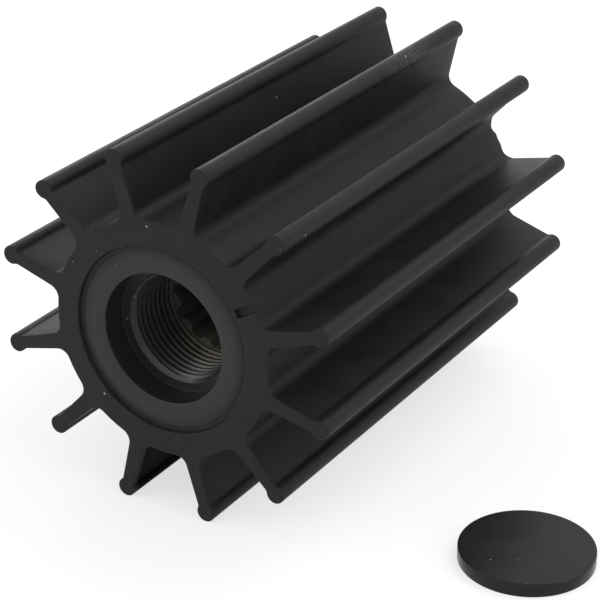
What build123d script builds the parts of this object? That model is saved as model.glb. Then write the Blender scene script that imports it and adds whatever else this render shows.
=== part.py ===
from build123d import *
from math import cos, radians
import os

# Flexible pump impeller: twelve rubber blades moulded round a metal insert, with its end plug taken off.
# Frame: the shaft axis is Y, the front face looks towards -Y, Z is up.
# The origin lies on the shaft axis, in the plane of the insert's front face.
# The impeller lies on two neighbouring blade tips, and the plug lies flat beside it on the same surface.
# All lengths are in millimetres.

# Rubber body
tip_diameter = 100.0
body_length = 130.0
hub_diameter = 63.4
blade_count = 12
blade_root_thickness = 4.5
blade_neck_thickness = 3.4
bead_diameter = 5.0
root_fillet = 3.2
neck_fillet = 1.6

# Recess in each rubber end face, in which the end of the insert shows inside a narrow rubber ledge
recess_depth = 0.9
recess_ledge = 1.1
recess_draft = 0.2

# Radial notch in the rim of the front face, between the recess and the outside of the hub
notch_angle = 30.0
notch_width = 2.4
notch_depth = 1.2
notch_wall = 0.5

# Metal insert
insert_diameter = 48.2
plug_seat_diameter = 35.0
plug_seat_depth = 7.4
thread_major_diameter = 30.0
thread_pitch = 2.0
thread_mouth_diameter = 30.4
thread_length = 16.0
spline_tooth_count = 12
spline_tip_diameter = 24.0
spline_root_diameter = 27.4
spline_space_mouth = 4.2
spline_space_floor = 2.3
spline_turn = -2.0
spline_rear_chamfer = 0.8

# Grooves round the outside of the insert, which the rubber fills and grips
grip_groove_count = 3
grip_groove_width = 6.0
grip_groove_depth = 0.8

# End plug
plug_clearance = 0.3
plug_thickness = 3.7
plug_edge_chamfer = 0.3
plug_beside_tips = 22.5
plug_behind_front = 27.0

# Depth of an internal metric thread of 60 degrees, as a share of its pitch
thread_depth_ratio = 0.54127

tip_radius = tip_diameter / 2
hub_radius = hub_diameter / 2
bead_radius = bead_diameter / 2
bead_centre = tip_radius - bead_radius
insert_radius = insert_diameter / 2
insert_length = body_length - 2 * recess_depth
thread_minor_radius = thread_major_diameter / 2 - thread_depth_ratio * thread_pitch
thread_mouth_depth = thread_mouth_diameter / 2 - thread_minor_radius
spline_start = plug_seat_depth + thread_mouth_depth + thread_length
spline_root_radius = spline_root_diameter / 2

# Down is midway between two blades, so the impeller stands on two bead tips.
blade_step = 360 / blade_count
first_blade = -90 + blade_step / 2
floor_height = -(bead_centre * cos(radians(blade_step / 2)) + bead_radius)


def along_axis(sketch, start, length):
    """Extrude an XZ section, drawn as seen from the front, from start towards the rear."""
    plane = Plane(origin=(0, start, 0), x_dir=(1, 0, 0), z_dir=(0, -1, 0))
    return extrude(plane * sketch, -length)


def turned(points):
    """Revolve a closed outline of (radius, place along the axis) points about the shaft axis."""
    outline = make_face(Polyline(*[(radius, place, 0) for radius, place in points], close=True))
    return revolve(outline, Axis.Y)


def blade_section():
    """One blade along +X: flanks that thin evenly towards the tip, and the round bead."""
    neck_radius = tip_radius - bead_diameter
    thinning = (blade_root_thickness - blade_neck_thickness) / (neck_radius - hub_radius)
    foot = insert_radius
    foot_half = (blade_root_thickness + thinning * (hub_radius - foot)) / 2
    top_half = (blade_neck_thickness - thinning * (bead_centre - neck_radius)) / 2
    web = make_face(Polyline((foot, -foot_half), (bead_centre, -top_half),
                             (bead_centre, top_half), (foot, foot_half), close=True))
    return web + Pos(bead_centre, 0) * Circle(bead_radius)


def corners(section, near, far):
    """Corners of an outline whose distance from the shaft axis lies between near and far."""
    return section.vertices().filter_by(lambda corner: near < Vector(corner.X, corner.Y).length < far)


def body_section():
    """Hub and blades in one outline, with a fillet each side of every root and every neck."""
    section = Sketch() + Circle(hub_radius)
    blade = blade_section()
    for index in range(blade_count):
        section += Rot(0, 0, first_blade + index * blade_step) * blade
    mid_blade = (hub_radius + bead_centre) / 2
    section = fillet(corners(section, 0, mid_blade), root_fillet)
    return fillet(corners(section, mid_blade, bead_centre), neck_fillet)


def insert_blank():
    """Outside of the insert, with its grip grooves."""
    points = [(0, 0), (insert_radius, 0)]
    pitch = insert_length / (grip_groove_count + 1)
    groove_floor = insert_radius - grip_groove_depth
    for index in range(grip_groove_count):
        middle = (index + 1) * pitch
        points.append((insert_radius, middle - grip_groove_width / 2))
        points.append((groove_floor, middle - grip_groove_width / 2 + grip_groove_depth))
        points.append((groove_floor, middle + grip_groove_width / 2 - grip_groove_depth))
        points.append((insert_radius, middle + grip_groove_width / 2))
    points += [(insert_radius, insert_length), (0, insert_length)]
    return turned(points)


def end_recess(face, inward):
    """Shallow recess from a rubber end face to the level of the insert's end."""
    ledge_radius = insert_radius + recess_ledge
    floor = face + inward * recess_depth
    return turned([(0, face), (ledge_radius + recess_draft, face), (ledge_radius, floor), (0, floor)])


def front_notch():
    """The notch, closed towards the recess and open at the outside of the hub."""
    inner = insert_radius + recess_ledge + recess_draft + notch_wall
    reach = hub_radius + root_fillet - inner
    notch = Pos(inner + reach / 2, 0) * Rectangle(reach, notch_width)
    return along_axis(Rot(0, 0, notch_angle) * notch, -recess_depth, notch_depth)


def make_rubber_body():
    front = -recess_depth
    rear = front + body_length
    body = along_axis(body_section(), front, body_length)
    body -= insert_blank()
    body -= end_recess(front, 1)
    body -= end_recess(rear, -1)
    return body - front_notch()


def drive_spline():
    """Section of the splined hole: a round hole, and round it a tapering space for each tooth of the shaft."""
    lip_radius = spline_tip_diameter / 2
    narrowing = (spline_space_mouth - spline_space_floor) / 2 / (spline_root_radius - lip_radius)
    axis_half = spline_space_mouth / 2 + narrowing * lip_radius
    floor_half = spline_space_floor / 2
    space = make_face(Polyline((0, -axis_half), (spline_root_radius, -floor_half),
                               (spline_root_radius, floor_half), (0, axis_half), close=True))
    hole = Sketch() + Circle(lip_radius)
    for index in range(spline_tooth_count):
        hole += Rot(0, 0, spline_turn + index * 360 / spline_tooth_count) * space
    return hole & Circle(spline_root_radius)


def front_bore():
    """The stepped hole from the front: plug seat, sloping thread mouth, and the wall at the thread's crests."""
    seat_radius = plug_seat_diameter / 2
    mouth_radius = thread_mouth_diameter / 2
    thread_start = plug_seat_depth + thread_mouth_depth
    return turned([(0, 0), (seat_radius, 0), (seat_radius, plug_seat_depth), (mouth_radius, plug_seat_depth),
                   (thread_minor_radius, thread_start), (thread_minor_radius, spline_start), (0, spline_start)])


def rear_mouth():
    """The chamfer at the rear end of the splined hole, where the shaft enters."""
    mouth_radius = spline_root_radius + spline_rear_chamfer
    lip_radius = spline_tip_diameter / 2
    depth = mouth_radius - lip_radius
    return turned([(0, insert_length), (mouth_radius, insert_length),
                   (lip_radius, insert_length - depth), (0, insert_length - depth)])


def make_hub_insert():
    spline_hole = along_axis(drive_spline(), spline_start, insert_length - spline_start)
    return insert_blank() - front_bore() - spline_hole - rear_mouth()


def make_end_plug():
    plug_radius = plug_seat_diameter / 2 - plug_clearance
    plug = Cylinder(plug_radius, plug_thickness, align=(Align.CENTER, Align.CENTER, Align.MIN))
    plug = chamfer(plug.edges().filter_by(GeomType.CIRCLE), plug_edge_chamfer)
    across = tip_radius + plug_beside_tips + plug_radius
    return Pos(across, plug_behind_front - recess_depth, floor_height) * plug


def write(node, solid):
    solid.label = node
    export_step(solid, f"parts/{node}.step")
    print(node, round(solid.volume), "mm3")


os.makedirs("parts", exist_ok=True)
write("rubber_body", make_rubber_body())
write("hub_insert", make_hub_insert())
write("end_plug", make_end_plug())
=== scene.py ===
# %% [markdown]
# # A flexible pump impeller and its end plug
# A rubber impeller turns in the housing of a sea-water pump, and its twelve blades bend over and push
# the water along. The real one is a bronze insert with rubber moulded round it. A thin rubber disc closes
# the hole for the shaft, and here it has been taken out and lies beside the impeller.
# The solids give the sizes. This lesson makes a finer mesh for each of the three pieces, in the same
# place, and gives each a finish made from nodes.

# %% Load the solids
import math

import bmesh
import bpy
from mathutils import Matrix, Vector


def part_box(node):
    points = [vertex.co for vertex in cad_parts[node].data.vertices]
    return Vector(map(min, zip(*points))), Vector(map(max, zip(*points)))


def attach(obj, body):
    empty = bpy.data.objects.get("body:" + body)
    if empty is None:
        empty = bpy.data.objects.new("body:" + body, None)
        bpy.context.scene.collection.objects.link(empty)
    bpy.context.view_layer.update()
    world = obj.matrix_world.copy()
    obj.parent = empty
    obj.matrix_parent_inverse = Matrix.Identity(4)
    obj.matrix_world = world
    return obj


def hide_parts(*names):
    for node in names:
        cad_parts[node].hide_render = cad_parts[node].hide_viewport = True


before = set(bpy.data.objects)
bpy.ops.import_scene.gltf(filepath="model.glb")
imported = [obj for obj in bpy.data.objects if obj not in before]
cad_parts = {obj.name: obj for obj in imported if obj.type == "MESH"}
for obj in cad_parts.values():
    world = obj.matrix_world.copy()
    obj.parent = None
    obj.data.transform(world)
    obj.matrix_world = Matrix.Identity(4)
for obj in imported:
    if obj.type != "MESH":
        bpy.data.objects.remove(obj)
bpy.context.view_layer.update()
MM = 0.001
for node_name in sorted(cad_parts):
    low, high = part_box(node_name)
    print(node_name, "measures", [round(side / MM, 2) for side in high - low], "mm")

# %% [markdown]
# ## Camera
# The impeller lies on its side and is seen from the front right and from above, with a long lens that
# keeps its edges nearly parallel. The angles, the lens and the distance were worked out from the blade tips
# and the outline. Three directions are enough to place a camera: to the right, up, and straight ahead.
# The eye's place is measured along them, in multiples of the radius on which the bead centres lie.

# %% Camera
AZIMUTH, ELEVATION = math.radians(31.54), math.radians(25.77)
LENS, SENSOR = 126.29, 36.0
EYE_RIGHT, EYE_UP, EYE_BACK = 0.7278, 0.2116, 10.9683
BEAD_CENTRE = 47.5 * MM
FRONT = -0.9 * MM

ahead = Vector((-math.sin(AZIMUTH) * math.cos(ELEVATION), math.cos(AZIMUTH) * math.cos(ELEVATION),
                -math.sin(ELEVATION)))
to_right = Vector((math.cos(AZIMUTH), math.sin(AZIMUTH), 0))
upward = to_right.cross(ahead)
eye = Vector((0, FRONT, 0)) + BEAD_CENTRE * (EYE_RIGHT * to_right + EYE_UP * upward - EYE_BACK * ahead)

camera = bpy.data.objects.new("camera", bpy.data.cameras.new("camera"))
camera.data.lens, camera.data.sensor_width = LENS, SENSOR
camera.matrix_world = Matrix.Translation(eye) @ Matrix((to_right, upward, -ahead)).transposed().to_4x4()
bpy.context.scene.collection.objects.link(camera)
bpy.context.scene.camera = camera
bpy.context.scene.view_settings.view_transform = "Standard"
print("camera", round((eye - Vector((0, FRONT, 0))).length / MM), "mm from the front face")

# %% [markdown]
# ## Nodes and colours
# Every finish below is a short chain of nodes. One function adds a node, sets its options, and fills or
# links its sockets, by name or by number. A Map Range has its value in socket 0, the range it comes from in
# 1 and 2, and the range it goes to in 3 and 4. A Mix has its share in 0, two numbers in 2 and 3, and two
# colours in 6 and 7. Another function turns the usual hex colours into the linear values that shaders work
# with. The last one tells rays that make the picture from rays that only carry light.
# Patterns are measured in millimetres, so Object coordinates, which are metres, are multiplied by 1000.

# %% Node and colour helpers
IN_MM = (1000, 1000, 1000)


def node(tree, kind, sockets=None, **options):
    """Add a node, set its options, and give each socket a value or a link from another node."""
    made = tree.nodes.new(kind)
    for option, value in options.items():
        setattr(made, option, value)
    for key, value in (sockets or {}).items():
        if isinstance(value, bpy.types.NodeSocket):
            tree.links.new(value, made.inputs[key])
        else:
            made.inputs[key].default_value = value
    return made


def linear(hex_colour):
    """An sRGB hex colour as linear red, green, blue and alpha."""
    shares = [int(hex_colour[place:place + 2], 16) / 255 for place in (1, 3, 5)]
    return [s / 12.92 if s <= 0.04045 else ((s + 0.055) / 1.055) ** 2.4 for s in shares] + [1.0]


def empty_material(name):
    """A new material without any nodes, and its node tree."""
    material = bpy.data.materials.new(name)
    material.use_nodes = True
    material.node_tree.nodes.clear()
    return material, material.node_tree


def picture_rays(tree):
    """A share that is 1 for what the camera sees, even in gloss or through glass, and 0 for other light."""
    path = node(tree, "ShaderNodeLightPath").outputs
    seen = path["Is Camera Ray"]
    for kind in ("Is Glossy Ray", "Is Transmission Ray"):
        seen = node(tree, "ShaderNodeMath", {0: seen, 1: path[kind]}, operation="MAXIMUM").outputs[0]
    return seen


print("mid grey in linear light is", round(linear("#808080")[0], 3))

# %% [markdown]
# ## Floor and light
# A small black part is photographed on a white sheet, under large soft lamps, so that its rounded edges
# show as soft bright lines. The floor takes the part's shadow. What the camera sees of it is lifted to
# white, and the light that it sends back to the part stays that of plain white board.

# %% Floor
FLOOR_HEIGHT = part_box("end_plug")[0].z
FLOOR_REACH = 3.0
FLOOR_LIFT = 0.68
bm = bmesh.new()
bmesh.ops.create_grid(bm, x_segments=1, y_segments=1, size=FLOOR_REACH,
                      matrix=Matrix.Translation((0, 0, FLOOR_HEIGHT)))
floor = bpy.data.objects.new("floor", bpy.data.meshes.new("floor"))
bm.to_mesh(floor.data)
bm.free()
bpy.context.scene.collection.objects.link(floor)

white_board, tree = empty_material("white_board")
board = node(tree, "ShaderNodeBsdfDiffuse", {"Color": linear("#e6e6e6")})
lit = node(tree, "ShaderNodeBsdfDiffuse", {"Color": linear("#a0a0a0")})
lift = node(tree, "ShaderNodeEmission", {"Color": linear("#ffffff"), "Strength": FLOOR_LIFT})
bright = node(tree, "ShaderNodeAddShader", {0: lit.outputs[0], 1: lift.outputs[0]})
mixed = node(tree, "ShaderNodeMixShader", {0: picture_rays(tree), 1: board.outputs[0], 2: bright.outputs[0]})
node(tree, "ShaderNodeOutputMaterial", {"Surface": mixed.outputs[0]})
floor.data.materials.append(white_board)
print("floor at", round(FLOOR_HEIGHT / MM, 2), "mm")

# %% Lamps
ROOM_LIGHT = 0.78
SOFTBOX_SIDE = 0.5
AIM = Vector((0.03, 0.03, 0))
world = bpy.data.worlds.new("studio")
bpy.context.scene.world = world
world.use_nodes = True
tree = world.node_tree
tree.nodes.clear()
strength = node(tree, "ShaderNodeMapRange", {0: picture_rays(tree), 3: ROOM_LIGHT, 4: 1.0})
walls = node(tree, "ShaderNodeBackground", {"Color": linear("#ffffff"), "Strength": strength.outputs[0]})
node(tree, "ShaderNodeOutputWorld", {"Surface": walls.outputs[0]})


def softbox(name, turn, height, watts):
    """A square lamp one metre from the part, placed by two angles: turned from +X, and up from the floor."""
    turn, height = math.radians(turn), math.radians(height)
    arm = Vector((math.cos(turn) * math.cos(height), math.sin(turn) * math.cos(height), math.sin(height)))
    lamp = bpy.data.objects.new(name, bpy.data.lights.new(name, "AREA"))
    lamp.data.size, lamp.data.energy = SOFTBOX_SIDE, watts
    lamp.location = AIM + arm
    lamp.rotation_euler = arm.to_track_quat("Z", "Y").to_euler()
    bpy.context.scene.collection.objects.link(lamp)
    print(name, "hangs at", [round(side, 2) for side in lamp.location], "m")


softbox("high_softbox", 60, 55, 2.3)
softbox("left_softbox", 135, 22, 2.4)
softbox("right_softbox", 0, 22, 2.3)
softbox("front_softbox", 225, 22, 2.0)

# %% [markdown]
# ## The rubber moulding: one blade
# A blade is a flat web that thins towards its tip, where it ends in a round bead that wears against the
# pump's housing. Fillets join the web to the hub and to the bead. The mould for it is milled with round
# cutters, so its outline is drawn here in the same way: a point is turned round one centre after another,
# and each turn leaves an arc behind. Only half a blade is drawn, and a mirror gives the other half.

# %% Sizes of the rubber
TIP = 50.0 * MM
HUB = 31.7 * MM
BLADES = 12
ROOT_HALF = 2.25 * MM
NECK_HALF = 1.7 * MM
BEAD = 2.5 * MM
ROOT_FILLET = 3.2 * MM
NECK_FILLET = 1.6 * MM
LENGTH = 130.0 * MM
WELD = 0.001 * MM
BLADE_STEP = 360 / BLADES
FIRST_BLADE = -90 + BLADE_STEP / 2

taper = math.atan((ROOT_HALF - NECK_HALF) / (TIP - 2 * BEAD - HUB))
along = Vector((math.cos(taper), 0, -math.sin(taper)))
outward = Vector((math.sin(taper), 0, math.cos(taper)))
flank_height = outward.dot(Vector((HUB, 0, ROOT_HALF)))
print("each flank leans", round(math.degrees(taper), 2), "degrees")


# %% Compass tools
def angle_of(arm):
    """Direction of an arm in the section, from +X towards +Z, in degrees."""
    return math.degrees(math.atan2(arm.z, arm.x))


def point_at(radius, degrees, place=0.0):
    """A point at that distance and direction from the shaft axis."""
    turn = math.radians(degrees)
    return Vector((radius * math.cos(turn), place, radius * math.sin(turn)))


def sweep(bm, vert, centre, end, steps):
    """Turn a point round a centre, the shorter way, to the direction end. Gives the arc's last point."""
    turn = (end - angle_of(vert.co - centre) + 180) % 360 - 180
    arc = bmesh.ops.spin(bm, geom=[vert], cent=centre, axis=(0, -1, 0), angle=math.radians(turn),
                         steps=steps)
    return [item for item in arc["geom_last"] if isinstance(item, bmesh.types.BMVert)][0]


def line_to(bm, vert, place):
    """Draw a straight edge from a point to a place."""
    end = bmesh.ops.extrude_vert_indiv(bm, verts=[vert])["verts"][0]
    end.co = place
    return end


def fillet_centre(ring_centre, ring_radius, fillet, side):
    """Centre of a fillet between a ring and the flank, on the ring's tip side (1) or shaft side (-1)."""
    rise = flank_height + fillet - outward.dot(ring_centre)
    run = math.sqrt((ring_radius + fillet) ** 2 - rise ** 2)
    return ring_centre + outward * rise + along * (side * run)


# %% Half a blade, then the whole outline
def blade_ring(bm, place):
    """The closed outline of the hub and its blades, at one place along the shaft."""
    axis = Vector((0, 0, 0))
    bead = Vector((BEAD_CENTRE, 0, 0))
    root = fillet_centre(axis, HUB, ROOT_FILLET, 1)
    neck = fillet_centre(bead, BEAD, NECK_FILLET, -1)
    square = angle_of(-outward)
    pen = bm.verts.new(point_at(HUB, BLADE_STEP / 2))
    pen = sweep(bm, pen, axis, angle_of(root), 4)
    pen = sweep(bm, pen, root, square, 10)
    pen = line_to(bm, pen, neck - outward * NECK_FILLET)
    pen = sweep(bm, pen, neck, angle_of(bead - neck), 6)
    sweep(bm, pen, bead, 0, 16)
    bmesh.ops.mirror(bm, geom=bm.verts[:] + bm.edges[:], axis="Z", merge_dist=WELD)
    bmesh.ops.spin(bm, geom=bm.verts[:] + bm.edges[:], cent=axis, axis=(0, -1, 0), steps=BLADES - 1,
                   angle=math.radians(360 - BLADE_STEP), use_duplicate=True)
    bmesh.ops.remove_doubles(bm, verts=bm.verts, dist=WELD)
    bmesh.ops.rotate(bm, verts=bm.verts, matrix=Matrix.Rotation(-math.radians(FIRST_BLADE), 3, "Y"))
    bmesh.ops.translate(bm, verts=bm.verts, vec=(0, place, 0))
    return bm.edges[:]


# %% [markdown]
# ## The rubber moulding: length, ends and recesses
# The mould's two end plates leave sharp rims on rubber, which soften as the part is handled. The outline
# is pulled along the shaft, closed with a cap at each end, and each cap is inset three times, rising as it
# goes, which rounds the rim. The end of the insert shows in a recess in each end face, with a narrow ledge
# of rubber round it.

# %% Tools for rings and end faces
RIM = 0.22 * MM
COLLAR = 0.3 * MM
ROUND_STEPS = 180


def pull(bm, edges, vec):
    """Extrude a loop of edges and move the new loop. Gives the new loop."""
    made = bmesh.ops.extrude_edge_only(bm, edges=edges)["geom"]
    verts = [item for item in made if isinstance(item, bmesh.types.BMVert)]
    bmesh.ops.translate(bm, verts=verts, vec=vec)
    return [item for item in made if isinstance(item, bmesh.types.BMEdge)]


def cap(bm, edges, facing):
    """Close a flat loop with one face that looks along facing."""
    face = bmesh.ops.edgeloop_fill(bm, edges=edges)["faces"][0]
    face.normal_update()
    if face.normal.dot(Vector(facing)) < 0:
        face.normal_flip()
    return face


def round_rim(bm, face, radius, steps=3):
    """Inset a cap in steps that rise less and less, so that its rim becomes a quarter round."""
    turns = [math.radians(90 * step / steps) for step in range(steps + 1)]
    for before, after in zip(turns, turns[1:]):
        bmesh.ops.inset_region(bm, faces=[face], use_even_offset=True,
                               thickness=radius * (math.cos(before) - math.cos(after)),
                               depth=radius * (math.sin(after) - math.sin(before)))


def open_cap(bm, face, collar):
    """Leave a narrow flat collar round a cap and take its middle out. Gives the inner loop."""
    bmesh.ops.inset_region(bm, faces=[face], use_even_offset=True, thickness=collar)
    edges = face.edges[:]
    bmesh.ops.delete(bm, geom=[face], context="FACES_ONLY")
    return edges


def lathe(bm, outline, rounded, steps=ROUND_STEPS):
    """Turn a line of (radius, place) points in mm about the shaft axis. rounded lists (index, radius)."""
    pen = bm.verts.new((outline[0][0] * MM, outline[0][1] * MM, 0))
    verts = [pen]
    for radius, place in outline[1:]:
        pen = line_to(bm, pen, (radius * MM, place * MM, 0))
        verts.append(pen)
    for index, radius in rounded:
        bmesh.ops.bevel(bm, geom=[verts[index]], offset=radius * MM, offset_type="OFFSET", segments=3,
                        profile=0.5, affect="VERTICES", material=-1)
    line = [edge for edge in bm.edges if not edge.link_faces]
    points = list({vert for edge in line for vert in edge.verts})
    bmesh.ops.spin(bm, geom=points + line, cent=(0, 0, 0), axis=(0, -1, 0), angle=math.tau, steps=steps,
                   use_merge=True)


def open_loop(bm, place, low=0.0, high=1.0):
    """Open edges that lie in one plane across the shaft, between two distances from it."""
    return [edge for edge in bm.edges if edge.is_boundary
            and all(abs(vert.co.y - place) < 0.002 * MM for vert in edge.verts)
            and low < math.hypot(edge.verts[0].co.x, edge.verts[0].co.z) < high]


def fill_flat(bm, edges, facing):
    """Fill the flat face between an outer loop and the loops inside it."""
    made = bmesh.ops.triangle_fill(bm, edges=edges, use_beauty=True, normal=facing)["geom"]
    return [item for item in made if isinstance(item, bmesh.types.BMFace)]


def finish_piece(bm, name, stands_for, crisp=40):
    """Weld, turn the faces outwards, smooth all but crisp edges, and hand the mesh to the part."""
    bmesh.ops.remove_doubles(bm, verts=bm.verts, dist=WELD)
    bmesh.ops.recalc_face_normals(bm, faces=bm.faces)
    gaps = sum(1 for edge in bm.edges if len(edge.link_faces) != 2)
    volume = bm.calc_volume(signed=True) / MM ** 3
    mesh = bpy.data.meshes.new(name)
    bm.to_mesh(mesh)
    bm.free()
    mesh.shade_smooth()
    mesh.set_sharp_from_angle(angle=math.radians(crisp))
    piece = bpy.data.objects.new(name, mesh)
    bpy.context.scene.collection.objects.link(piece)
    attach(piece, "root")
    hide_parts(stands_for)
    mesh.calc_loop_triangles()
    print(name, "has", len(mesh.loop_triangles), "triangles,", gaps, "open edges and", round(volume), "mm3")
    return piece


# %% The rubber body
bm = bmesh.new()
front_loop = blade_ring(bm, FRONT + RIM)
rear_loop = front_loop
LENGTH_STEPS = 26
for step in range(LENGTH_STEPS):
    rear_loop = pull(bm, rear_loop, (0, (LENGTH - 2 * RIM) / LENGTH_STEPS, 0))
front_cap = cap(bm, front_loop, (0, -1, 0))
rear_cap = cap(bm, rear_loop, (0, 1, 0))
flank_faces = len(bm.faces) - 2
for face in (front_cap, rear_cap):
    round_rim(bm, face, RIM)
outlines = [open_cap(bm, face, COLLAR) for face in (front_cap, rear_cap)]
print("the outline has", len(outlines[0]), "points and the flanks", flank_faces, "faces")

# %% Recesses and the hidden wall round the insert
INSERT = 24.1
GROOVES, GROOVE_WIDTH, GROOVE_DEPTH = 3, 6.0, 0.8
INSERT_LENGTH = 128.2


def gripped_wall():
    """Outline of the wall between rubber and metal, with the grooves that hold them together."""
    points = []
    for index in range(GROOVES):
        middle = (index + 1) * INSERT_LENGTH / (GROOVES + 1)
        half = GROOVE_WIDTH / 2
        points += [(INSERT, middle - half), (INSERT - GROOVE_DEPTH, middle - half + GROOVE_DEPTH),
                   (INSERT - GROOVE_DEPTH, middle + half - GROOVE_DEPTH), (INSERT, middle + half)]
    return points


RECESS, LEDGE, LEDGE_RIM, FACE_START = 0.9, 25.2, 25.4, 25.9
recess = [(FACE_START, -RECESS), (LEDGE_RIM, -RECESS), (LEDGE, 0), (INSERT, 0)]
recess += gripped_wall()
recess += [(INSERT, INSERT_LENGTH), (LEDGE, INSERT_LENGTH), (LEDGE_RIM, INSERT_LENGTH + RECESS),
           (FACE_START, INSERT_LENGTH + RECESS)]
last = len(recess) - 1
lathe(bm, recess, rounded=[(1, 0.12), (3, 0.15), (last - 3, 0.15), (last - 1, 0.12)])
for place, facing in ((FRONT, (0, -1, 0)), (FRONT + LENGTH, (0, 1, 0))):
    faces = fill_flat(bm, open_loop(bm, place), facing)
    print("end face filled with", len(faces), "triangles")

# %% [markdown]
# ## The rubber moulding: leaning blades and a chipped rim
# Rubber blades take a set, so some of them lean at their front ends by up to a millimetre or so, and stand
# true again at the rear. The rim of the hub at the rear is chipped in three places. Neither is worth a tool
# of its own: points of the finished mesh are moved, further where the lean or the chip is deeper. A lean is
# given for a blade's angle by how far its tip stands aside, in mm, and a chip by its angle, half its width
# in degrees, and its bite in mm.

# %% Blades that do not stand quite true
LEANS = {135: 1.2, 195: 0.6, 315: -0.6, 345: 0.3, 15: 0.4, 75: -0.3}
leaning = 0
for vert in bm.verts:
    radius = math.hypot(vert.co.x, vert.co.z)
    blade = (round((angle_of(vert.co) % 360 - FIRST_BLADE) / BLADE_STEP) * BLADE_STEP + FIRST_BLADE) % 360
    reach = (radius - HUB) / (TIP - HUB)
    if reach > 0 and blade in LEANS:
        share = reach ** 1.5 * (1 - (vert.co.y - FRONT) / LENGTH)
        vert.co += point_at(LEANS[blade] * MM * share, angle_of(vert.co) + 90)
        leaning += 1
print(leaning, "points lean with their blades")

# %% The chipped rim at the rear
CHIPS = [(24, 4, 0.5), (30, 3, 0.5), (36, 3, 0.9)]
chipped = 0
for vert in bm.verts:
    radius = math.hypot(vert.co.x, vert.co.z)
    if vert.co.y > FRONT + LENGTH - 0.3 * MM and HUB - 1.5 * MM < radius < HUB + 1.2 * MM:
        for turn, half, bite in CHIPS:
            away = abs(angle_of(vert.co) - turn) / half
            if away < 1:
                vert.co.y -= bite * MM * (1 - away) ** 0.5
                chipped += 1
print(chipped, "points of the rear rim are chipped back")

# %% [markdown]
# ## The rubber moulding: the notch
# A short radial notch is moulded into the rim of the front face. It is open at the outside of the hub and
# stops just short of the recess. A block with broken edges stands for the rib of the mould that makes it,
# and a boolean takes it out, because the notch meets both the flat face and the rounded root of a blade.

# %% The notch in the front rim
def take_out(bm, tool):
    """Cut one closed shape out of another with a boolean modifier."""
    parts = [bpy.data.objects.new(name, bpy.data.meshes.new(name)) for name in ("body", "tool")]
    for part, shape in zip(parts, (bm, tool)):
        bmesh.ops.remove_doubles(shape, verts=shape.verts, dist=WELD)
        bmesh.ops.recalc_face_normals(shape, faces=shape.faces)
        shape.to_mesh(part.data)
        bpy.context.scene.collection.objects.link(part)
    modifier = parts[0].modifiers.new("cut", "BOOLEAN")
    modifier.operation, modifier.solver, modifier.object = "DIFFERENCE", "EXACT", parts[1]
    bm.clear()
    bm.from_object(parts[0], bpy.context.evaluated_depsgraph_get())
    tool.free()
    for part in parts:
        bpy.data.meshes.remove(part.data)


NOTCH_TURN, NOTCH_WIDTH, NOTCH_DEPTH = 30, 2.4, 1.2
NOTCH_START, NOTCH_END = FACE_START, 34.9
notch = bmesh.new()
middle = point_at((NOTCH_START + NOTCH_END) / 2 * MM, 0, FRONT)
size = Matrix.Diagonal(((NOTCH_END - NOTCH_START) * MM, 2 * NOTCH_DEPTH * MM, NOTCH_WIDTH * MM, 1))
turn = Matrix.Rotation(-math.radians(NOTCH_TURN), 4, "Y")
bmesh.ops.create_cube(notch, size=1, matrix=turn @ Matrix.Translation(middle) @ size)
bmesh.ops.bevel(notch, geom=notch.edges[:], offset=0.2 * MM, offset_type="OFFSET", segments=2, profile=0.5,
                affect="EDGES", material=-1)
take_out(bm, notch)
rubber_moulding = finish_piece(bm, "rubber_moulding", "rubber_body")

# %% [markdown]
# ## The insert: a thread made by a spin that climbs
# The insert is turned from bronze bar. Its front has a seat for the plug and a long thread, where a puller
# is screwed in to draw the impeller off its shaft. A thread is one groove that climbs as it goes round.
# Its profile over one pitch is drawn once, and a spin that also moves along the shaft at each step winds
# it up. Neighbouring turns meet point for point, so welding them gives one continuous surface.

# %% Thread
PITCH = 2.0
MAJOR, MINOR = 15.0, 13.9175
MOUTH, SEAT_DEPTH = 15.2, 7.4
SPLINE_START = 24.6825
STEPS_A_TURN = 120
TURNS = 11
THREAD_FROM, THREAD_TURN = 4.15, 250


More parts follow.
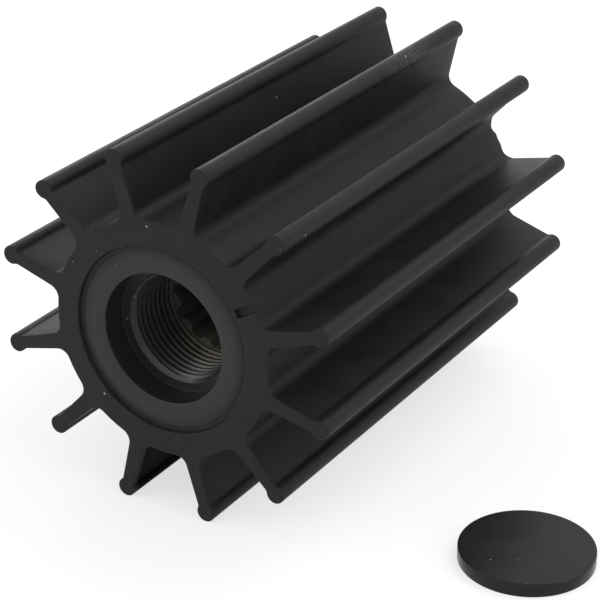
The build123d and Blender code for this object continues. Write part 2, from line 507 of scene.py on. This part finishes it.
def wind_thread(bm):
    """The threaded wall, cut off square at the plug seat and at the spline."""
    slope = (MAJOR - MINOR) / math.sqrt(3)
    profile = [(MINOR, 0), (MINOR, PITCH / 8), (MAJOR, PITCH / 8 + slope), (MAJOR, PITCH * 7 / 8 - slope),
               (MINOR, PITCH * 7 / 8), (MINOR, PITCH)]
    pen = bm.verts.new((MINOR * MM, THREAD_FROM * MM, 0))
    verts = [pen]
    for radius, place in profile[1:]:
        pen = line_to(bm, pen, (radius * MM, (THREAD_FROM + place) * MM, 0))
        verts.append(pen)
    bmesh.ops.bevel(bm, geom=verts[1:5], offset=0.1 * MM, offset_type="OFFSET", segments=2, profile=0.5,
                    affect="VERTICES", material=-1)
    flanks = [edge for edge in bm.edges if edge.calc_length() > 0.6 * MM]
    bmesh.ops.subdivide_edges(bm, edges=flanks, cuts=4)
    bmesh.ops.rotate(bm, verts=bm.verts, matrix=Matrix.Rotation(-math.radians(THREAD_TURN), 3, "Y"))
    bmesh.ops.spin(bm, geom=bm.verts[:] + bm.edges[:], cent=(0, 0, 0), axis=(0, 1, 0), angle=math.tau,
                   steps=STEPS_A_TURN, dvec=(0, PITCH * MM / STEPS_A_TURN, 0))
    one_turn = bm.verts[:] + bm.edges[:] + bm.faces[:]
    for turn in range(1, TURNS):
        made = bmesh.ops.duplicate(bm, geom=one_turn)["geom"]
        bmesh.ops.translate(bm, verts=[item for item in made if isinstance(item, bmesh.types.BMVert)],
                            vec=(0, turn * PITCH * MM, 0))
    bmesh.ops.remove_doubles(bm, verts=bm.verts, dist=0.003 * MM)
    for vert in bm.verts:
        cone = MOUTH * MM - (vert.co.y - SEAT_DEPTH * MM)
        radius = math.hypot(vert.co.x, vert.co.z)
        if radius < cone:
            vert.co.x *= cone / radius
            vert.co.z *= cone / radius
    for place, ahead_of in ((SEAT_DEPTH, -1), (SPLINE_START, 1)):
        bmesh.ops.bisect_plane(bm, geom=bm.verts[:] + bm.edges[:] + bm.faces[:], dist=0.0001 * MM,
                               plane_co=(0, place * MM, 0), plane_no=(0, ahead_of, 0), clear_outer=True)


bm = bmesh.new()
wind_thread(bm)
print("thread:", len(bm.faces), "faces,", len(open_loop(bm, SEAT_DEPTH * MM)), "edges at its mouth")

# %% [markdown]
# ## The insert: the spline
# Behind the thread, twelve tapering spaces are broached through the bronze for the teeth of the shaft. Half
# a space is drawn with the same compass tools, mirrored, and copied twelve times. At the rear the hole is
# chamfered where the shaft enters: each ring of the hole is moved out onto that cone.

# %% Spline
TEETH, SPLINE_TURN = 12, -2.0
TOOTH_STEP = 360 / TEETH
TIP_RADIUS, ROOT_RADIUS = 12.0, 13.7
MOUTH_HALF, FLOOR_HALF = 2.1, 1.18
EDGE = 0.08
REAR_MOUTH = ROOT_RADIUS + 0.8


def spline_parts(bm, place):
    """The points and edges of the spline outline drawn so far in one plane."""
    low, high = (TIP_RADIUS - 0.5) * MM, (ROOT_RADIUS + EDGE + 0.03) * MM
    verts = [vert for vert in bm.verts if abs(vert.co.y - place * MM) < 0.002 * MM
             and low < math.hypot(vert.co.x, vert.co.z) < high]
    return verts, list({edge for vert in verts for edge in vert.link_edges})


def spline_ring(bm, place, larger):
    """Closed outline of the splined hole in one plane, drawn larger all round by that many mm."""
    tip, root, mouth, floor = (size + larger for size in (TIP_RADIUS, ROOT_RADIUS, MOUTH_HALF, FLOOR_HALF))
    centre = Vector((0, place * MM, 0))
    pen = bm.verts.new(point_at(tip * MM, TOOTH_STEP / 2) + centre)
    pen = sweep(bm, pen, centre, math.degrees(math.asin(mouth / tip)), 4)
    pen = line_to(bm, pen, Vector((math.sqrt(root ** 2 - floor ** 2), 0, floor)) * MM + centre)
    sweep(bm, pen, centre, 0, 3)
    verts, edges = spline_parts(bm, place)
    bmesh.ops.mirror(bm, geom=verts + edges, axis="Z", merge_dist=WELD)
    verts, edges = spline_parts(bm, place)
    bmesh.ops.spin(bm, geom=verts + edges, cent=centre, axis=(0, -1, 0), steps=TEETH - 1,
                   angle=math.radians(360 - TOOTH_STEP), use_duplicate=True)
    verts, edges = spline_parts(bm, place)
    bmesh.ops.remove_doubles(bm, verts=verts, dist=WELD)
    verts, edges = spline_parts(bm, place)
    bmesh.ops.rotate(bm, verts=verts, cent=centre,
                     matrix=Matrix.Rotation(-math.radians(SPLINE_TURN), 3, "Y"))
    return edges


mouth = spline_ring(bm, SPLINE_START, EDGE)
ring = spline_ring(bm, SPLINE_START + EDGE, 0)
bmesh.ops.bridge_loops(bm, edges=mouth + ring)
fill_flat(bm, open_loop(bm, SPLINE_START * MM), (0, -1, 0))
print("spline outline:", len(ring), "edges")

# %% The splined wall and its chamfer at the rear
tip_half = TOOTH_STEP / 2 - math.degrees(math.asin(MOUTH_HALF / TIP_RADIUS))
root_half = TOOTH_STEP / 2 - math.degrees(math.asin(FLOOR_HALF / ROOT_RADIUS))


def push_out(edges, radius):
    """Move the points of a ring out to a circle. The tip of each tooth widens to the width of its root."""
    for vert in {vert for edge in edges for vert in edge.verts}:
        turn = angle_of(vert.co)
        from_tooth = (turn - SPLINE_TURN) % TOOTH_STEP - TOOTH_STEP / 2
        if abs(from_tooth) < tip_half + 0.05:
            turn += from_tooth * (root_half / tip_half - 1)
        vert.co = point_at(radius * MM, turn, vert.co.y)


chamfer = [INSERT_LENGTH - (REAR_MOUTH - radius) for radius in (TIP_RADIUS, ROOT_RADIUS, REAR_MOUTH)]
ring = pull(bm, ring, (0, (chamfer[0] - SPLINE_START - EDGE) * MM, 0))
ring = pull(bm, ring, (0, (chamfer[1] - chamfer[0]) * MM, 0))
push_out(ring, ROOT_RADIUS)
ring = pull(bm, ring, (0, (chamfer[2] - chamfer[1]) * MM, 0))
for vert in {vert for edge in ring for vert in edge.verts}:
    vert.co = point_at(REAR_MOUTH * MM, angle_of(vert.co), vert.co.y)
print("the chamfer at the rear opens to", round(2 * REAR_MOUTH, 1), "mm")

# %% [markdown]
# ## The insert: its turned outside
# The rest is plain lathe work: the plug seat, the front face, the outside with its grip grooves, and the
# rear face. The line that a lathe tool would follow is spun about the shaft, with its edges broken first.

# %% Turned surfaces
SEAT = 17.5
turned = [(MOUTH + 0.6, SEAT_DEPTH), (SEAT, SEAT_DEPTH), (SEAT, 0), (INSERT, 0)]
turned += gripped_wall()
turned += [(INSERT, INSERT_LENGTH), (REAR_MOUTH + 0.6, INSERT_LENGTH)]
lathe(bm, turned, rounded=[(1, 0.12), (2, 0.3), (3, 0.15), (len(turned) - 2, 0.15)])
bmesh.ops.remove_doubles(bm, verts=bm.verts, dist=WELD)
for place, facing in ((SEAT_DEPTH, (0, -1, 0)), (INSERT_LENGTH, (0, 1, 0))):
    fill_flat(bm, open_loop(bm, place * MM), facing)
bronze_insert = finish_piece(bm, "bronze_insert", "hub_insert", crisp=33)

# %% [markdown]
# ## The end plug
# The plug is a plain disc, stamped or moulded from the same kind of rubber. Its edge is a little soft.

# %% Plug
low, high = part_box("end_plug")
plug_centre = (low + high) / 2
plug_radius = (high.x - low.x) / 2 / MM
half_thickness = (high.z - low.z) / 2 / MM
flat_radius = plug_radius * 0.97
bm = bmesh.new()
lathe(bm, [(0, -half_thickness), (flat_radius, -half_thickness), (plug_radius, -half_thickness),
           (plug_radius, half_thickness), (flat_radius, half_thickness), (0, half_thickness)],
      rounded=[(2, 0.35), (3, 0.35)], steps=160)
bmesh.ops.rotate(bm, verts=bm.verts, matrix=Matrix.Rotation(math.radians(90), 3, "X"))
bmesh.ops.translate(bm, verts=bm.verts, vec=plug_centre)
rubber_plug = finish_piece(bm, "rubber_plug", "end_plug")

# %% [markdown]
# ## Specks and talc
# Specks of talc and lint cling to rubber that has been stored. The larger ones are placed one by one, each
# by x, y, z and its radius in mm. A speck fades out over the last part of its radius, and a smaller one is
# fainter too. Fine dust is scattered by a cell pattern, with one grain somewhere in each 4.5 mm cell, and
# its size is a share of the cell. A patch of talc lies on one bead: Y is squeezed before the distance is
# taken, which stretches the patch along the blade. Real talc is far too fine to show, so its grains are
# drawn 0.6 mm wide.

# %% Specks
FULL_SPECK = 0.3
DUST_CELL, TALC_GRAIN = 4.5, 0.6
SPECK_PLACES = [
    (14.24, 6.4, 47.45, 0.2), (14.1, 96.7, 47.6, 0.3), (14.78, 102.28, 46.07, 0.2),
    (-8.94, 67.79, 40.5, 0.28), (36.04, 8.96, 33.12, 0.28), (34.41, 49.34, -31.23, 0.26),
    (-18.09, -0.9, -19.96, 0.34), (-3.02, -0.9, 30.15, 0.3), (-10.79, -0.9, 23.0, 0.22),
    (-18.55, -0.9, 19.81, 0.2), (-26.24, -0.9, 15.23, 0.22), (-13.54, 0.0, 17.12, 0.22),
    (12.37, 0.0, -20.27, 0.2), (33.0, 26.03, 36.02, 0.2), (35.82, 66.07, 11.67, 0.22),
    (17.58, 0.0, -13.11, 0.18), (-13.88, 7.83, 5.05, 0.28), (-16.03, 7.4, -1.53, 0.3),
    (84.73, 15.98, -44.68, 0.26), (90.34, 19.42, -44.68, 0.2), (97.06, 11.19, -44.68, 0.18),
    (80.6, 21.4, -44.68, 0.18),
]
TALC_CENTRE, TALC_SQUEEZE = (12.3, 17.8, 45.9), (1, 0.18, 1)


def specks(tree, place):
    """A share that is 1 on a large speck, less on small ones, dust and talc, and 0 elsewhere."""
    total = 0.0
    for x, y, z, size in SPECK_PLACES:
        far = node(tree, "ShaderNodeVectorMath", {0: place, 1: (x, y, z)},
                   operation="DISTANCE").outputs["Value"]
        share = min(1.0, (size / FULL_SPECK) ** 2)
        spot = node(tree, "ShaderNodeMapRange", {0: far, 1: size * 0.6, 2: size, 3: share, 4: 0.0})
        total = node(tree, "ShaderNodeMath", {0: total, 1: spot.outputs[0]}, operation="MAXIMUM").outputs[0]
    cells = node(tree, "ShaderNodeTexVoronoi", {
        "Vector": place, "Scale": 1 / DUST_CELL, "Randomness": 1.0}).outputs["Distance"]
    dust = node(tree, "ShaderNodeMapRange", {0: cells, 1: 0.018, 2: 0.035, 3: 0.4, 4: 0.0})
    total = node(tree, "ShaderNodeMath", {0: total, 1: dust.outputs[0]}, operation="MAXIMUM").outputs[0]
    squeezed = node(tree, "ShaderNodeMapping", {"Vector": place, "Scale": TALC_SQUEEZE}).outputs[0]
    far = node(tree, "ShaderNodeVectorMath", {0: squeezed, 1: TALC_CENTRE},
               operation="DISTANCE").outputs["Value"]
    patch = node(tree, "ShaderNodeMapRange", {0: far, 1: 2.5, 2: 3.6, 3: 0.14, 4: 0.0})
    powder = node(tree, "ShaderNodeTexNoise", {
        "Vector": place, "Scale": 1 / TALC_GRAIN, "Detail": 1}).outputs["Fac"]
    grains = node(tree, "ShaderNodeMapRange", {0: powder, 1: 0.4, 2: 0.7, 3: 0.0, 4: 1.0})
    talc = node(tree, "ShaderNodeMath", {0: patch.outputs[0], 1: grains.outputs[0]}, operation="MULTIPLY")
    return node(tree, "ShaderNodeMath", {0: total, 1: talc.outputs[0]}, operation="MAXIMUM").outputs[0]


print(len(SPECK_PLACES), "specks have a place of their own")

# %% [markdown]
# ## The dark gap under the part
# The gap between the two blades that the part stands on gets hardly any light. The floor is lifted to white
# for the picture, and would shine into the gap, so the rubber there is drawn darker and with less gloss. X
# over Z is the tangent of the angle from straight down, which tells the gap from the blades' other sides.

# %% Between the feet
def between_feet(tree, place):
    """A share that is 1 inside the gap between the two blades the part stands on, and 0 elsewhere."""
    x, y, z = node(tree, "ShaderNodeSeparateXYZ", {0: place}).outputs
    lean = node(tree, "ShaderNodeMath", {0: x, 1: z}, operation="DIVIDE").outputs[0]
    lean = node(tree, "ShaderNodeMath", {0: lean}, operation="ABSOLUTE").outputs[0]
    half_gap = math.tan(math.radians(BLADE_STEP / 2))
    within = node(tree, "ShaderNodeMapRange", {0: lean, 1: half_gap, 2: half_gap - 0.01, 3: 0.0, 4: 1.0})
    below = node(tree, "ShaderNodeMapRange", {0: z, 1: -27.0, 2: -29.0, 3: 0.0, 4: 1.0})
    behind = node(tree, "ShaderNodeMapRange", {0: y, 1: -0.7, 2: 1.5, 3: 0.0, 4: 1.0})
    inside = node(tree, "ShaderNodeMath", {0: within.outputs[0], 1: below.outputs[0]}, operation="MULTIPLY")
    return node(tree, "ShaderNodeMath", {0: inside.outputs[0], 1: behind.outputs[0]},
                operation="MULTIPLY").outputs[0]


print("the gap is", BLADE_STEP, "degrees wide")

# %% [markdown]
# ## Rubber
# The rubber is a black nitrile or neoprene compound, filled with carbon black and moulded hot. A little wax
# comes to the surface and greys it in clouds about 12 mm across. The steel of the mould was polished along
# the blades, which leaves faint lines, drawn 1.2 mm wide and 60 mm long. Real lines and real grain are too
# fine to show at this distance, so both are drawn as coarse as they need to be, and a grain is 0.3 to
# 0.45 mm wide.

# %% Rubber finish
CLOUD_WIDTH, LINE_WIDTH, LINE_LENGTH = 12.0, 1.2, 60.0
GAP_SHINE = 0.08


def rubber(name, dark, grey, roughness, specular, grain, depth, lines):
    """Black rubber in two close blacks, with a roughness range, a gloss, a grain and polish lines.

    The grain has a width and a depth in mm. The lines are so many times as deep as the grain.
    """
    material, tree = empty_material(name)
    object_place = node(tree, "ShaderNodeTexCoord").outputs["Object"]
    place = node(tree, "ShaderNodeMapping", {"Vector": object_place, "Scale": IN_MM}).outputs[0]
    drawn = node(tree, "ShaderNodeMapping", {
        "Vector": place, "Scale": (1, LINE_WIDTH / LINE_LENGTH, 1)}).outputs[0]
    clouds = node(tree, "ShaderNodeTexNoise", {
        "Vector": place, "Scale": 1 / CLOUD_WIDTH, "Detail": 6, "Roughness": 0.68}).outputs["Fac"]
    grains = node(tree, "ShaderNodeTexNoise", {
        "Vector": place, "Scale": 1 / grain, "Detail": 3}).outputs["Fac"]
    streaks = node(tree, "ShaderNodeTexNoise", {
        "Vector": drawn, "Scale": 1 / LINE_WIDTH, "Detail": 3}).outputs["Fac"]
    painted_gap_shade = between_feet(tree, place)

    waxy = node(tree, "ShaderNodeMapRange", {0: clouds, 1: 0.35, 2: 0.7, 3: 0.0, 4: 1.0}).outputs[0]
    colour = node(tree, "ShaderNodeMix", {0: waxy, 6: linear(dark), 7: linear(grey)},
                  data_type="RGBA").outputs[2]
    colour = node(tree, "ShaderNodeMix", {0: specks(tree, place), 6: colour, 7: linear("#a2a09c")},
                  data_type="RGBA").outputs[2]
    # Painted shade: in the gap between the feet the rubber is painted near black, and its gloss is lowered
    # below.
    colour = node(tree, "ShaderNodeMix", {0: painted_gap_shade, 6: colour, 7: linear("#080808")},
                  data_type="RGBA").outputs[2]
    rough = node(tree, "ShaderNodeMapRange", {
        0: clouds, 1: 0.3, 2: 0.7, 3: roughness[0], 4: roughness[1]}).outputs[0]
    shine = node(tree, "ShaderNodeMix", {0: painted_gap_shade, 2: specular, 3: GAP_SHINE * specular}).outputs[0]
    height = node(tree, "ShaderNodeMath", {0: streaks, 1: lines, 2: grains},
                  operation="MULTIPLY_ADD").outputs[0]
    bump = node(tree, "ShaderNodeBump", {"Height": height, "Distance": depth * MM, "Strength": 1.0})
    skin = node(tree, "ShaderNodeBsdfPrincipled", {
        "Base Color": colour, "Roughness": rough, "IOR": 1.52, "Specular IOR Level": shine,
        "Normal": bump.outputs[0]})
    node(tree, "ShaderNodeOutputMaterial", {"Surface": skin.outputs[0]})
    return material


# Moulded against smooth steel: a broad soft gloss that follows each bead and fillet.
moulded = rubber("moulded_nitrile_rubber", "#17171a", "#1f1f21", (0.51, 0.62), 0.17, 0.35, 0.006, 0.8)
# Moulded against the end plates, which are rougher: blacker, with a grain that breaks up the gloss.
end_faced = rubber("end_faced_nitrile_rubber", "#0d0d0e", "#1b1b1d", (0.44, 0.60), 0.21, 0.3, 0.04, 0.0)
# Pressed between polished plates: the smoothest of the three, so the room shows in it as a grey sheen.
plug_skin = rubber("plug_nitrile_rubber", "#1c1c1d", "#222223", (0.20, 0.27), 0.16, 0.45, 0.004, 0.0)

rubber_moulding.data.materials.append(moulded)
rubber_moulding.data.materials.append(end_faced)
grained = 0
for polygon in rubber_moulding.data.polygons:
    if abs(polygon.normal.y) > 0.5:
        polygon.material_index = 1
        grained += 1
rubber_plug.data.materials.append(plug_skin)
print(grained, "end faces have the grained finish")

# %% [markdown]
# ## Bronze
# Before moulding, the insert is coated with a dark bonding agent that makes rubber stick to metal. The
# coat covers its face, the plug seat and the thread. It thins at the far end of the thread, where bronze
# shows through, dark with grime. Low in the bore, where light falls on the thread, the tarnish is painted
# lighter, in the olive of bronze: the tint is real and the brightness is painted light. There the crests are
# bare metal, which stands in for a highlight on them. The slope at the thread's mouth is polished at its
# lowest.
# Three layers do it: coat, oxide and metal, mixed by how deep in the bore a point lies and how far from the
# shaft. The patches in which the coat ends are 3 mm wide. The coat's own grain is drawn 0.5 mm wide, which
# is coarser than the real one, so that it shows.

# %% Where the coat shines, where it is gone, and where light is painted on the thread
PATCH_WIDTH, PATCH_REACH = 3.0, 6.0
COAT_GRAIN, COAT_GRAIN_DEPTH = 0.5, 0.008
BARE_FROM, BARE_TO = 24.0, 28.0
# The last two place and stretch the patch low in the bore where light falls and is painted on the thread.
POLISH_CENTRE, PAINTED_LIGHT_CENTRE, PAINTED_LIGHT_SQUEEZE = (-2.5, 8.0, -14.5), (1.5, 15.6, -13.5), (1, 0.8, 1)


def polished_slope(tree, place, depth):
    """A share that is 1 on the lowest part of the slope at the thread's mouth, and 0 elsewhere."""
    below = node(tree, "ShaderNodeMapRange", {0: depth, 1: 7.42, 2: 7.5, 3: 0.0, 4: 1.0})
    above = node(tree, "ShaderNodeMapRange", {0: depth, 1: 8.9, 2: 9.8, 3: 1.0, 4: 0.0})
    slope = node(tree, "ShaderNodeMath", {0: below.outputs[0], 1: above.outputs[0]}, operation="MULTIPLY")
    far = node(tree, "ShaderNodeVectorMath", {0: place, 1: POLISH_CENTRE},
               operation="DISTANCE").outputs["Value"]
    near = node(tree, "ShaderNodeMapRange", {0: far, 1: 5.0, 2: 13.0, 3: 1.0, 4: 0.0})
    return node(tree, "ShaderNodeMath", {0: slope.outputs[0], 1: near.outputs[0]},
                operation="MULTIPLY").outputs[0]


def painted_light_patch(tree, place):
    """A share that is 1 low in the bore, where light falls on the thread and is painted on, and 0 elsewhere.
    """
    squeezed = node(tree, "ShaderNodeMapping", {"Vector": place, "Scale": PAINTED_LIGHT_SQUEEZE}).outputs[0]
    far = node(tree, "ShaderNodeVectorMath", {0: squeezed, 1: PAINTED_LIGHT_CENTRE},
               operation="DISTANCE").outputs["Value"]
    return node(tree, "ShaderNodeMapRange", {0: far, 1: 3.0, 2: 12.5, 3: 1.0, 4: 0.0}).outputs[0]


def painted_crest_highlights(tree, radius, depth, painted_light_share):
    """A share of bare metal, standing in for a highlight, on the crests in the painted light patch, and 0
    elsewhere.
    """
    crest = node(tree, "ShaderNodeMapRange", {0: radius, 1: 14.1, 2: 15.6, 3: 0.16, 4: 0.0})
    below = node(tree, "ShaderNodeMapRange", {0: depth, 1: 7.45, 2: 7.6, 3: 0.0, 4: 1.0})
    crest = node(tree, "ShaderNodeMath", {0: crest.outputs[0], 1: below.outputs[0]}, operation="MULTIPLY")
    return node(tree, "ShaderNodeMath", {0: crest.outputs[0], 1: painted_light_share}, operation="MULTIPLY").outputs[0]


print("bronze shows from about", BARE_FROM - PATCH_REACH / 2, "mm down the bore")

# %% Bronze finish
def coated_bronze(name):
    """Bronze under a black bonding coat that thins out down the bore."""
    material, tree = empty_material(name)
    object_place = node(tree, "ShaderNodeTexCoord").outputs["Object"]
    place = node(tree, "ShaderNodeMapping", {"Vector": object_place, "Scale": IN_MM}).outputs[0]
    across = node(tree, "ShaderNodeMapping", {"Vector": place, "Scale": (1, 0, 1)}).outputs[0]
    radius = node(tree, "ShaderNodeVectorMath", {0: across}, operation="LENGTH").outputs["Value"]
    depth = node(tree, "ShaderNodeSeparateXYZ", {0: place}).outputs["Y"]
    patches = node(tree, "ShaderNodeTexNoise", {
        "Vector": place, "Scale": 1 / PATCH_WIDTH, "Detail": 4}).outputs["Fac"]
    fine = node(tree, "ShaderNodeTexNoise", {
        "Vector": place, "Scale": 1 / COAT_GRAIN, "Detail": 3}).outputs["Fac"]
    bump = node(tree, "ShaderNodeBump", {
        "Height": fine, "Distance": COAT_GRAIN_DEPTH * MM, "Strength": 1.0}).outputs[0]

    # The coat is a thin black film with a satin gloss, duller in the thread and shiny where it was polished.
    in_thread = node(tree, "ShaderNodeMapRange", {0: depth, 1: 8.4, 2: 9.4, 3: 0.0, 4: 1.0}).outputs[0]
    on_slope = polished_slope(tree, place, depth)
    shine = node(tree, "ShaderNodeMapRange", {0: radius, 1: 21.5, 2: 24.0, 3: 0.27, 4: 0.15}).outputs[0]
    shine = node(tree, "ShaderNodeMix", {0: in_thread, 2: shine, 3: 0.07}).outputs[0]
    shine = node(tree, "ShaderNodeMix", {0: on_slope, 2: shine, 3: 0.45}).outputs[0]
    rough = node(tree, "ShaderNodeMapRange", {0: fine, 1: 0.3, 2: 0.7, 3: 0.3, 4: 0.43}).outputs[0]
    rough = node(tree, "ShaderNodeMix", {0: on_slope, 2: rough, 3: 0.24}).outputs[0]
    black = node(tree, "ShaderNodeMix", {0: in_thread, 6: linear("#202021"), 7: linear("#303030")},
                 data_type="RGBA").outputs[2]
    black = node(tree, "ShaderNodeMix", {0: specks(tree, place), 6: black, 7: linear("#7d7c79")},
                 data_type="RGBA").outputs[2]
    coat = node(tree, "ShaderNodeBsdfPrincipled", {
        "Base Color": black, "Roughness": rough, "IOR": 1.52, "Specular IOR Level": shine, "Normal": bump})

    # Tarnish is matt and dark with grime. Low in the bore, where light falls, it is painted lighter in
    # olive:
    # a real tint of bronze, made brighter as painted light.
    painted_light_share = painted_light_patch(tree, place)
    olive = node(tree, "ShaderNodeMix", {0: patches, 6: linear("#75735f"), 7: linear("#8f8c78")},
                 data_type="RGBA").outputs[2]
    in_spline = node(tree, "ShaderNodeMapRange", {0: depth, 1: 24.8, 2: 26.0, 3: 0.0, 4: 1.0}).outputs[0]
    grime = node(tree, "ShaderNodeMix", {0: in_spline, 6: linear("#393833"), 7: linear("#3b3b3a")},
                 data_type="RGBA").outputs[2]
    tarnish_and_painted_light = node(tree, "ShaderNodeMix", {0: painted_light_share, 6: grime, 7: olive}, data_type="RGBA").outputs[2]
    oxide_and_painted_light = node(tree, "ShaderNodeBsdfPrincipled", {
        "Base Color": tarnish_and_painted_light, "Roughness": 0.7, "IOR": 1.6, "Normal": bump})

    # Bare bronze is pale and bright, and a little warmer where less of the coat is left on it. It shows only
    # on the crests low in the bore, where light falls, as a painted highlight.
    warm = node(tree, "ShaderNodeMapRange", {0: depth, 1: 12.0, 2: 21.0, 3: 0.0, 4: 1.0}).outputs[0]
    bright = node(tree, "ShaderNodeMix", {0: warm, 6: linear("#9d9d9f"), 7: linear("#aba492")},
                  data_type="RGBA").outputs[2]
    metal = node(tree, "ShaderNodeBsdfPrincipled", {
        "Base Color": bright, "Metallic": 1.0, "Roughness": 0.36, "Normal": bump})

    ragged = node(tree, "ShaderNodeMath", {0: patches, 1: PATCH_REACH, 2: depth},
                  operation="MULTIPLY_ADD").outputs[0]
    bare = node(tree, "ShaderNodeMapRange", {0: ragged, 1: BARE_FROM, 2: BARE_TO, 3: 0.0, 4: 1.0}).outputs[0]
    # Bare crests in the painted light patch stand in for a highlight.
    crest_highlight_share = painted_crest_highlights(tree, radius, depth, painted_light_share)
    aged_and_painted_light = node(tree, "ShaderNodeMixShader", {0: bare, 1: coat.outputs[0], 2: oxide_and_painted_light.outputs[0]})
    mixed = node(tree, "ShaderNodeMixShader", {0: crest_highlight_share, 1: aged_and_painted_light.outputs[0], 2: metal.outputs[0]})
    node(tree, "ShaderNodeOutputMaterial", {"Surface": mixed.outputs[0]})
    return material


bronze_insert.data.materials.append(coated_bronze("bonding_coated_bronze"))
print("the insert has the finish", bronze_insert.data.materials[0].name)
